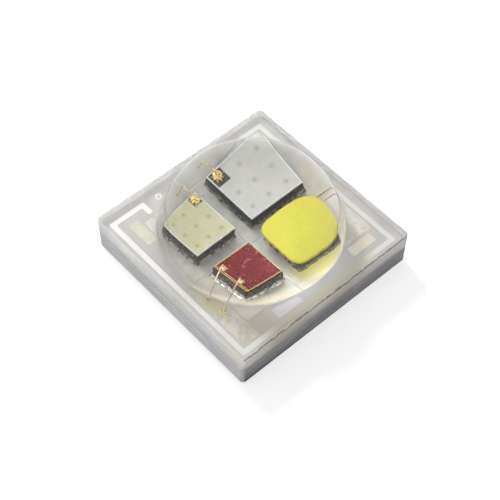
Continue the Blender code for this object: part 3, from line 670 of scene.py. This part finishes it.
def makePlating():
    paint(bandFinish(), "frame_band", "polarity_ring")
    pads = cloudyFinish("pad plating", ((226, 224, 219), (203, 200, 193)), (0.22, 0.42),
                        (1200.0, 0.3, 0.7), (24000.0, 0.8 * um), {"Metallic": 0.9})[0]
    paint(pads, "thermal_pad", *(f"solder_pad_{number}" for number in range(1, 9)))
    paint(landFinish("land plating"), *(f"{name}_{kind}_land" for kind in ("die", "wire")
                                        for name in ("blue", "green", "red", "white")))
    middle, half = dieBox("white")[:2]
    corner = middle + half * (1, -1)
    paint(landFinish("phosphor lit land plating", corner, stainAndLightShapes["phosphorLight"]), "white_die_land")
    stitchLow, stitchHigh = nodeBox("red_bond_wire_1")[0], nodeBox("red_bond_wire_2")[1]
    corner = ((stitchLow[0] + stitchHigh[0]) / 2, stitchLow[1])
    paint(landFinish("fluxed land plating", corner, stainAndLightShapes["flux"]), "red_wire_land")
    marks = {"left": ("cream", ((246, 243, 228), (234, 230, 210))),
             "right": ("beige", ((255, 248, 234), (244, 234, 218))),
             "near": ("lilac", ((246, 243, 243), (234, 230, 233)))}
    for place, (name, tones) in marks.items():
        mark = cloudyFinish(f"{name} mark", tones, (0.4, 0.6), (2600.0, 0.35, 0.65), (26000.0, 0.8 * um),
                            {"Metallic": 0.2})[0]
        paint(mark, f"{place}_mark_bar")


makePlating()
print("plating: made")


# Die bodies: dark sawn silicon with chipped sides
bodySizes = {
    "cornerRadius": 10 * um,
    "edge": 3 * um,
    "roughness": 7 * um,       # how deep the chips in the sides are
    "straight": 46,
    "arc": 4,
    "levels": 13,
}
chipSpecks = (                 # coarse and fine
    {"scale": 9500.0, "size": 0.2, "amount": 0.34},
    {"scale": 26000.0, "size": 0.42, "amount": 0.15},
)


def dieBodyMaterial(name, footTop, footShare, footColour):
    # near black with coarse and fine bright chips, and a rough paler foot
    material, tree, shader = startMaterial(name, {"Roughness": 0.4})
    dark = blendColour(tree, clouds(tree, 7000.0, 0.4, 0.62), tint(60, 58, 53), tint(11, 10, 9))
    low, high = dieBox("blue")[2:]
    foot = spread(tree, partsOf(tree, ownPlace(tree))["Z"], low + footTop * (high - low), low)
    foot = multiply(tree, foot, clouds(tree, 13000.0, 0.42, 0.58), footShare)
    colour = blendColour(tree, foot, dark, footColour)
    for chips in chipSpecks:
        specks = placeGroup(tree, specksGroup, **chips)["Mask"]
        colour = blendColour(tree, specks, colour, tint(222, 219, 210))
    grain = placeGroup(tree, grainGroup, scale=36000.0, depth=7 * um)
    feed(tree, shader, {"Base Color": colour, "Normal": grain["Normal"]})
    return material


def makeDieBody(name, material, seed):
    # a rounded rectangle up the die's height; chips push the sides in, most at the foot
    sizes = bodySizes
    middle, half, low, high = dieBox(name)
    rng = np.random.default_rng(seed)
    outline = roundedOutline(*half, sizes["cornerRadius"], sizes["straight"], sizes["arc"])
    away = outline / lengthsOf(outline)
    levels = np.linspace(0, 1, sizes["levels"])
    chips = rng.random((len(levels), len(outline))) ** 2 * sizes["roughness"]
    chips *= (1.15 - levels)[:, None]
    chips[-1] = 0
    rings = [*(outline[None] - away[None] * chips[..., None]), outline * (1 - sizes["edge"] / half[0])]
    heights = [*(low + levels * (high - sizes["edge"] - low)), high]
    grid = ringsOf(rings, heights)
    grid[..., :2] += middle
    piece = putGrid(f"{name}_die_body", grid, material, sharp=35)
    settle(piece, "dark_carrier", f"{name}_die_carrier")


# Solder beads: an uneven fillet round the foot of each die
beadSizes = {
    "width": 46 * um,
    "height": 62 * um,
    "depth": 20 * um,          # from the die's foot down to the bead's
    "inside": 12 * um,         # how far it reaches under the die
    "cornerRadius": 12 * um,
    "lumps": 60,
    "mean": 0.72,              # of the swell, which waves and lumps change
    "waves": 0.2,
    "lumpiness": 0.34,
    "straight": 70,
    "arc": 10,
}
beadProfile = (                # from under the die out over its foot: inside, rise and reach
    (1, 0.0, 0.0), (1, 1.0, 0.0), (0, 1.0, 0.0), (0, 0.62, 0.10),
    (0, 0.36, 0.26), (0, 0.17, 0.50), (0, 0.06, 0.80), (0, 0.0, 1.0),
)
rimSizes = {
    "width": 17 * um,
    "above": 3 * um,           # over the emitter
    "foot": 2 * um,            # under the body's top
}


def solderMaterial(name, tones, gloss):
    return cloudyFinish(name, tones, gloss, (14000.0, 0.4, 0.62), (36000.0, 4 * um), {"Metallic": 0.85})[0]


def makeBead(name, material, seed, growth):
    # a closed profile of a foot, a hollow slope and the wall, carried round the die; its height and reach
    # swell and shrink on the way round
    sizes = beadSizes
    middle, half, low = dieBox(name)[:3]
    rng = np.random.default_rng(seed)
    outline = roundedOutline(*half, sizes["cornerRadius"], sizes["straight"], sizes["arc"])
    angle = circleTurns(len(outline))
    waves = sum(rng.uniform(0.4, 1.0) / count ** 0.6 * np.sin(count * angle + rng.uniform(0, 6.28))
                for count in (2, 3, 5, 9, 14, 23, 37))
    knots = np.linspace(0, 2 * math.pi, sizes["lumps"])
    lumps = np.interp(angle, knots, np.append(rng.uniform(-1, 1, sizes["lumps"] - 1), 0))
    swell = sizes["mean"] + sizes["waves"] * waves + sizes["lumpiness"] * lumps
    swell = np.clip(swell, 0.2, 1.6) * growth
    normal = np.column_stack([np.gradient(outline[:, 1]), -np.gradient(outline[:, 0])])
    normal /= lengthsOf(normal)
    rings = []
    for inward, rise, reach in beadProfile:
        out = reach * sizes["width"] * swell - inward * sizes["inside"]
        height = low - sizes["depth"] + rise * sizes["height"] * swell
        rings.append(np.column_stack([outline + normal * out[:, None] + middle, height]))
    piece = putGrid(f"{name}_solder_bead", np.stack(rings), material, caps=False)
    settle(piece, "die_solder", f"{name}_die_attach")


def makeRim(name, material):
    # a thin square-set band round the top of a die, whose pale finish is a painted highlight along its top
    # edge: outer foot, outer top, inner top, inner foot
    sizes = rimSizes
    middle, half, _, high = dieBox(name)
    outlines = [roundedOutline(*(half - inset), bodySizes["cornerRadius"] - inset / 2,
                               bodySizes["straight"], bodySizes["arc"]) + middle
                for inset in (um, 2 * um, sizes["width"], sizes["width"])]
    top = nodeBox(f"{name}_die_emitter")[1][2] + sizes["above"]
    foot = high - sizes["foot"]
    piece = putGrid(f"{name}_die_rim", ringsOf(outlines, (foot, top, top, foot)), material, caps=False,
                    sharp=30)
    settle(piece, f"{name}_emitter")


def makeDies():
    silicon = dieBodyMaterial("sawn silicon", 0.5, 0.7, tint(160, 155, 144))
    stained = dieBodyMaterial("stained silicon", 1.3, 1.0, tint(150, 138, 130))
    # painted highlight: a near-white finish for the band round the top of the blue and green dies
    rim = cloudyFinish("painted rim highlight", ((255, 254, 250), (226, 222, 212)), (0.3, 0.5), (12000.0, 0.5, 0.7),
                       (36000.0, um), {"Metallic": 0.1})[0]
    dull = solderMaterial("dull solder", ((190, 186, 176), (88, 86, 80)), (0.35, 0.6))
    bright = solderMaterial("bright solder", ((236, 234, 230), (140, 138, 132)), (0.16, 0.4))
    looks = {"blue": (silicon, dull, 0.7), "green": (silicon, dull, 0.8), "red": (stained, bright, 1.3),
             "white": (silicon, dull, 0.9)}
    for seed, (name, (body, solder, growth)) in enumerate(looks.items(), start=20):
        makeDieBody(name, body, seed)
        makeBead(name, solder, seed + 10, growth)
        if name in ("blue", "green"):
            makeRim(name, rim)


makeDies()
print("dies: made")


# Emitters: thin pale faces, with a soft darker spot over each contact hole, painted shade of a faint dimple
greyPlug = ((204, 203, 197), (188, 187, 180))
emitterLooks = {
    "blue": {"tones": ((224, 223, 218), (214, 213, 207)), "spot": (186, 186, 181), "plug": greyPlug,
             "missing": (0, 0)},
    "green": {"tones": ((229, 226, 190), (220, 216, 176)), "spot": (190, 190, 150),
              "plug": ((204, 202, 160), (188, 188, 146)), "missing": (0, 2), "patch": (206, 216, 160)},
    "white": {"tones": ((214, 213, 209), (197, 196, 191)), "spot": (176, 176, 172), "plug": greyPlug,
              "missing": (0, 2)},
}
holeGrid = 3                   # contact holes each way
plugSizes = {
    "footReach": 17 * um,
    "topReach": 26 * um,
    "above": um,
    "sides": 20,
}


def emitterMaterial(name, look):
    material, tree, shader, colour = cloudyFinish(
        f"{name} emitter", look["tones"], (0.3, 0.5), (2400.0, 0.3, 0.7), (40000.0, 0.4 * um))
    low, high = nodeBox(f"{name}_die_emitter")
    dots = placeGroup(tree, dotsGroup, start=(*low[:2], 0), pitch=(high[0] - low[0]) / holeGrid,
                      reach=75 * um)["Mask"]
    if "patch" in look:
        colour = patchy(tree, colour, tint(*look["patch"]), 0.6, 1900.0, 0.5, 0.7)
    # painted shade: a soft darker spot over each contact hole, for a faint dimple
    colour = blendColour(tree, multiply(tree, dots, 0.7), colour, tint(*look["spot"]))
    feed(tree, shader, {"Base Color": colour})
    return material


def redMaterial():
    # faint raised curves in the surface: the places where a soft noise crosses its middle value; a bump
    # raises them, and their paler pink is a painted highlight
    material, tree, shader, colour = cloudyFinish(
        "red emitter", ((139, 25, 30), (120, 16, 22)), (0.35, 0.55), (3000.0, 0.3, 0.7),
        (40000.0, 0.5 * um), {"Specular IOR Level": 0.25})
    noise = addNoise(tree, ownPlace(tree), 5200.0, 1.0, distortion=1.2)
    off = calc(tree, "ABSOLUTE", calc(tree, "SUBTRACT", noise))
    line = multiply(tree, spread(tree, off, 0.036, 0.0, smooth=True), clouds(tree, 4600.0, 0.4, 0.48))
    # painted highlight: paler pink along the curves
    colour = blendColour(tree, multiply(tree, line, 0.85), colour, tint(206, 102, 97))
    bump = addNode(tree, "Bump", {"Height": line, "Distance": 22 * um}).outputs["Normal"]
    feed(tree, shader, {"Base Color": colour, "Normal": bump})
    return material


def makePlugs(name, look):
    # small discs that fill the contact holes and just cover their rims: for each a lower circle, a wider
    # upper one and a band between them; the bond pad's corner has none
    sizes = plugSizes
    sides = sizes["sides"]
    turn = circleTurns(sides)
    low, high = nodeBox(f"{name}_die_emitter")
    pitch = (high[:2] - low[:2]) / holeGrid
    points, faces = [], []
    for column, row in np.ndindex(holeGrid, holeGrid):
        if (column, row) == look["missing"]:
            continue
        middle = low[:2] + pitch * (np.array([column, row]) + 0.5)
        foot = np.arange(sides) + len(points)
        top, beside = foot + sides, np.roll(foot, -1)
        for reach, height in ((sizes["footReach"], low[2]), (sizes["topReach"], high[2])):
            points += ringAt(middle + circlePoints(turn, reach), height + sizes["above"]).tolist()
        faces += [foot[::-1].tolist(), top.tolist()]
        faces += np.column_stack([foot, beside, beside + sides, top]).tolist()
    material = cloudyFinish(f"{name} contact plug", look["plug"], (0.35, 0.5), (30000.0, 0.35, 0.65),
                            (40000.0, um))[0]
    settle(putMesh(f"{name}_contact_plugs", points, faces, material), f"{name}_emitter")


def makeEmitters():
    for name, look in emitterLooks.items():
        paint(emitterMaterial(name, look), f"{name}_die_emitter")
        makePlugs(name, look)
    paint(redMaterial(), "red_die_emitter")
    pad = cloudyFinish("bond pad", ((92, 90, 86), (66, 64, 61)), (0.3, 0.5), (9000.0, 0.35, 0.65),
                       (40000.0, um), {"Metallic": 0.5})[0]
    paint(pad, *(f"{name}_die_bond_pad" for name in emitterLooks))


makeEmitters()
print("emitters: made")


# Phosphor: a matt yellow pillow, a little uneven at its rim
phosphorSizes = {
    "squareness": 3.1,         # of its far half; its near corners are sharper
    "nearSquareness": 4.8,
    "rimUneven": 15 * um,
    "knots": 75,               # of its uneven rim
    "edgeTurn": 60,
    "edge": 60 * um,
    "edgeRings": 7,
    "columns": 220,
    "crownRings": 26,
}


def phosphorMaterial():
    material, tree, shader = startMaterial("yellow phosphor", {
        "Roughness": 0.62, "Subsurface Weight": 0.25, "Subsurface Scale": 1.0,
        "Subsurface Radius": (60 * um, 50 * um, 12 * um)})
    colour = blendColour(tree, clouds(tree, 4200.0, 0.3, 0.7), tint(234, 228, 74), tint(228, 220, 58))
    grains = placeGroup(tree, specksGroup, scale=52000.0, size=0.5, amount=0.45)["Mask"]
    colour = blendColour(tree, multiply(tree, grains, 0.3), colour, tint(248, 245, 140))
    grain = placeGroup(tree, grainGroup, scale=30000.0, depth=3 * um)
    feed(tree, shader, {"Base Color": colour, "Normal": grain["Normal"]})
    return material


def makePhosphor():
    # superellipse rings: up a rounded edge, then over a crown that falls with the square of the radius
    sizes = phosphorSizes
    low, high = nodeBox("white_die_phosphor")
    middle, half = (low + high) / 2, (high[0] - low[0]) / 2
    rng = np.random.default_rng(51)
    angle = circleTurns(sizes["columns"])
    near = np.clip(0.5 - np.sin(angle), 0, 1)
    power = sizes["squareness"] + (sizes["nearSquareness"] - sizes["squareness"]) * near
    reach = half / (np.abs(np.cos(angle)) ** power + np.abs(np.sin(angle)) ** power) ** (1 / power)
    knots = np.linspace(0, 2 * math.pi, sizes["knots"])
    lows = rng.random(sizes["knots"]) ** 2
    lows[-1] = lows[0]
    reach -= np.interp(angle, knots, lows) * sizes["rimUneven"]
    crown = high[2] - low[2] - sizes["edge"]
    shares, heights = [], []
    for turn in np.radians(np.linspace(-sizes["edgeTurn"], sizes["edgeTurn"], sizes["edgeRings"])):
        shares.append(1 - sizes["edge"] / half * (1 - math.cos(turn)) / 2)
        lift = (1 + math.sin(turn) / math.sin(math.radians(sizes["edgeTurn"]))) / 2
        heights.append(low[2] + sizes["edge"] * lift)
    edgeShare = shares[-1]
    for inward in np.cos(np.linspace(0, math.pi / 2, sizes["crownRings"])[1:-1]):
        shares.append(edgeShare * inward)
        heights.append(low[2] + sizes["edge"] + crown * (1 - inward ** 2))
    outlines = [middle[:2] + circlePoints(angle, reach * share) for share in shares]
    piece = putGrid("phosphor_pillow", ringsOf(outlines, heights), phosphorMaterial())
    settle(piece, "yellow_phosphor", "white_die_phosphor")


makePhosphor()
print("phosphor: made")


# Bond wires: ball, loop and stitch, swept as one skin
wireSizes = {
    "sides": 16,
    "steps": 40,
    "ballSteps": 13,
    "stitchSteps": 12,
    "flattening": 0.45,
    "cutTurn": 55,
    "neck": 20 * um,
    "seat": 3 * um,            # between a wire and what it is bonded to
    "stitchHalfThickness": 7 * um,
    "wideBall": 84 * um,       # radii of the balls
    "redBall": 46 * um,
    "whiteBall": 36 * um,
    "wideInset": 68 * um,      # from the solid's end to the wide ball's middle
    "redSpan": 400 * um,       # along X, from the ball to the stitch
    "redInset": 8 * um,        # from the solid's end to the stitch
    "starOff": (-12 * um, 26 * um),
}
wireShapes = {                 # the curve's two handles, each as a share along the span and up
    "level": {"radius": 12 * um, "heel": 6 * um, "leaving": (1.15, 0.0), "landing": (0.0, 1.15),
              "stitch": 24 * um, "halfWidth": 10 * um},
    "arched": {"radius": 15 * um, "heel": 13 * um, "leaving": (0.0, 0.8), "landing": (0.355, 0.85),
               "stitch": 100 * um, "halfWidth": 44 * um},
}
starSizes = {
    "stitch": {"reach": 112 * um, "height": 16 * um, "points": 7},
    "ball": {"reach": 122 * um, "height": 22 * um, "points": 9},
    "red ball": {"reach": 84 * um, "height": 26 * um, "points": 7},
}
starColumns = 126
# each ring's share of a star's reach and of its height
starRings = ((0.9, 0.0), (1.0, 0.25), (0.7, 0.6), (0.4, 0.9), (0.15, 1.0))


def goldMaterial(name, dark, light, depth):
    # crumpled gold: fine grain breaks its shine into sparks and dark creases
    return cloudyFinish(name, (dark, light), (0.12, 0.34), (30000.0, 0.36, 0.6), (50000.0, depth),
                        {"Metallic": 1.0})[0]


def makeWire(node, ball, radius, tip, shape, material):
    # the sweep's path climbs the ball's axis, follows a cubic curve to the heel and runs flat to the
    # tip; each station is an ellipse in the plane across the path
    sizes = wireSizes
    along = np.array([tip[0] - ball[0], tip[1] - ball[1], 0.0])
    along /= np.linalg.norm(along)
    across = np.array([-along[1], along[0], 0.0])
    up = np.array([0.0, 0.0, 1.0])
    cut = math.radians(sizes["cutTurn"])
    turns = np.linspace(-cut, cut, sizes["ballSteps"])
    rise = radius * sizes["flattening"] * (np.sin(turns) + math.sin(cut))
    ballPoints = np.array(ball)[None] + up[None] * rise[:, None]
    ballReach = radius * np.cos(turns)

    neck = ballPoints[-1] + up * sizes["neck"]
    thinnest = sizes["stitchHalfThickness"]
    tipPoint = np.array([tip[0], tip[1], landTop + sizes["seat"] + thinnest])
    heel = tipPoint - along * shape["stitch"] + up * (shape["heel"] - thinnest)
    span, drop = np.dot(heel - neck, along), neck[2] - heel[2]
    leaving = neck + along * span * shape["leaving"][0] + up * drop * shape["leaving"][1]
    landing = heel - along * span * shape["landing"][0] + up * drop * shape["landing"][1]
    share = np.linspace(0, 1, sizes["steps"])[:, None]
    curve = (neck * (1 - share) ** 3 + leaving * 3 * share * (1 - share) ** 2
             + landing * 3 * share ** 2 * (1 - share) + heel * share ** 3)

    end = np.linspace(0, 1, sizes["stitchSteps"])[1:, None]
    flat = heel + (tipPoint - heel) * end
    squash = np.sin(end[:, 0] * math.pi * 0.75)
    points = np.vstack([ballPoints, curve, flat])
    thin = shape["radius"] + (shape["heel"] - shape["radius"]) * np.clip(share[:, 0] * 2 - 1, 0, 1) ** 0.5
    wide, thick = (np.concatenate([ballReach, thin, shape["heel"] + (last - shape["heel"]) * squash])
                   for last in (shape["halfWidth"], thinnest))
    ahead = np.gradient(points, axis=0)
    ahead[0], ahead[-1] = up, along
    over = np.cross(ahead, across)
    over /= lengthsOf(over)
    side = circleTurns(sizes["sides"])
    grid = (points[:, None] + across[None, None] * (wide[:, None] * np.cos(side))[..., None]
            + over[:, None] * (thick[:, None] * np.sin(side))[..., None])
    settle(putGrid(node.replace("bond", "fine"), grid, material, sharp=60), "gold", node)


def makeStar(name, middle, sizes, seed, material):
    # squashed gold round a stitch or ball: a low mound that swings out in points of uneven length
    rng = np.random.default_rng(seed)
    angle = circleTurns(starColumns)
    far, near = rng.uniform(0.75, 1.0, sizes["points"]), rng.uniform(0.3, 0.5, sizes["points"])
    points = np.interp(angle, np.linspace(0, 2 * math.pi, sizes["points"] * 2 + 1),
                       np.append(np.ravel([far, near], order="F"), 0.85))
    star = circlePoints(angle, sizes["reach"] * points)
    grid = ringsOf([np.array(middle[:2]) + star * share for share, lift in starRings],
                   [middle[2] + um + lift * sizes["height"] for share, lift in starRings])
    settle(putGrid(name, grid, material, sharp=40), "gold")


def makeWires():
    # each wire keeps the ball's and the stitch's place of the solid that it stands for
    ballGold = goldMaterial("ball gold", (160, 128, 64), (250, 230, 164), 8 * um)
    darkGold = goldMaterial("dark wire gold", (120, 92, 60), (214, 184, 130), 5 * um)
    paleGold = goldMaterial("pale wire gold", (226, 204, 150), (255, 246, 216), 3 * um)
    starGold = goldMaterial("squashed gold", (206, 180, 108), (255, 240, 186), 4 * um)
    paint(goldMaterial("contact gold", (222, 190, 120), (246, 222, 160), um), "red_die_contact")
    sizes, level = wireSizes, wireShapes["level"]
    padTops = {name: nodeBox(f"{name}_die_bond_pad")[1][2] + sizes["seat"] for name in emitterLooks}
    for name in ("blue", "green"):
        low, high = nodeBox(f"{name}_bond_wire")
        middle = (low[1] + high[1]) / 2
        ball = (high[0] - sizes["wideInset"], middle, padTops[name])
        makeWire(f"{name}_bond_wire", ball, sizes["wideBall"], (low[0], middle), level, ballGold)
        makeStar(f"{name}_ball_star", ball, starSizes["ball"], 70 + len(name), ballGold)
    contactTop = nodeBox("red_die_contact")[1][2] + sizes["seat"]
    for number in (1, 2):
        low, high = nodeBox(f"red_bond_wire_{number}")
        radius = sizes["redBall"]
        ball = (low[0] + radius, high[1] - radius, contactTop)
        tip = (ball[0] + sizes["redSpan"], low[1] + sizes["redInset"])
        makeWire(f"red_bond_wire_{number}", ball, radius, tip, wireShapes["arched"], paleGold)
        makeStar(f"red_ball_star_{number}", ball, starSizes["red ball"], 80 + number, ballGold)
        stitch = (tip[0] + sizes["starOff"][0], tip[1] + sizes["starOff"][1], landTop)
        makeStar(f"red_stitch_star_{number}", stitch, starSizes["stitch"], 60 + number, starGold)
        low, high = nodeBox(f"white_bond_wire_{number}")
        radius, middle = sizes["whiteBall"], (low[0] + high[0]) / 2
        ball = (middle, low[1] + radius, padTops["white"])
        makeWire(f"white_bond_wire_{number}", ball, radius, (middle, high[1]), level, darkGold)


makeWires()
print("wires: made")


# Floor, lamps and world
lightSetup = {
    "keyWay": (-1.0, 0.14, 0.95),     # towards the key lamp, from the left and behind
    "keyDistance": 0.16,
    "keySide": 0.036,
    "keyPower": 0.205,
    "worldStrength": 0.68,
    "worldSlope": 0.52,               # how much brighter its left and near sides are
    "worldWay": (-0.8, -0.6, 0.0),
    "floorColour": 0.36,
    "floorLift": 0.71,
    "floorHalf": 0.6,
    "floorDrop": 2 * um,
}


def seenStraight(tree):
    # 1 for what the camera sees, by itself or in gloss and glass, and 0 for light on its way to the part
    rays = addNode(tree, "LightPath").outputs
    seen = calc(tree, "MAXIMUM", rays["Is Camera Ray"], rays["Is Glossy Ray"])
    seen = calc(tree, "MAXIMUM", seen, rays["Is Transmission Ray"])
    return multiply(tree, seen, calc(tree, "LESS_THAN", rays["Diffuse Depth"]))


def makeFloor():
    setup = lightSetup
    material = bpy.data.materials.new("pale floor")
    material.use_nodes = True
    tree = material.node_tree
    tree.nodes.remove(tree.nodes["Principled BSDF"])
    matt = addNode(tree, "BsdfDiffuse", {"Color": (setup["floorColour"],) * 3 + (1,)})
    lift = addNode(tree, "Emission", {"Strength": multiply(tree, seenStraight(tree), setup["floorLift"])})
    both = addNode(tree, "AddShader", {0: matt.outputs[0], 1: lift.outputs[0]})
    feed(tree, tree.nodes["Material Output"], {"Surface": both.outputs[0]})
    half = setup["floorHalf"]
    corners = [(-half, -half, 0), (half, -half, 0), (half, half, 0), (-half, half, 0)]
    floor = putMesh("floor", corners, [(0, 1, 2, 3)], material)
    floor.location.z = cadBox[0][2] - setup["floorDrop"]


def makeLights():
    setup = lightSetup
    data = bpy.data.lights.new("key", "AREA")
    data.shape, data.size, data.energy = "DISK", setup["keySide"], setup["keyPower"]
    lamp = bpy.data.objects.new("key", data)
    lamp.visible_glossy = False        # no spot on the dome
    way = Vector(setup["keyWay"]).normalized()
    lamp.location = way * setup["keyDistance"]
    lamp.rotation_euler = way.to_track_quat("Z", "Y").to_euler()
    scene.collection.objects.link(lamp)

    world = bpy.data.worlds.new("soft white")
    world.use_nodes = True
    scene.world = world
    tree = world.node_tree
    background = tree.nodes["Background"]
    background.inputs["Color"].default_value = (1, 1, 1, 1)
    way = addNode(tree, "TexCoord").outputs["Generated"]
    slope = addNode(tree, "VectorMath", {0: way, 1: setup["worldWay"]}, operation="DOT_PRODUCT")
    rise = multiply(tree, slope.outputs["Value"], setup["worldSlope"])
    lighting = calc(tree, "ADD", rise, setup["worldStrength"])
    feed(tree, background, {"Strength": spread(tree, seenStraight(tree), 0.0, 1.0, lighting)})


makeFloor()
makeLights()
scene.view_settings.view_transform = "Standard"
print("stage: made")
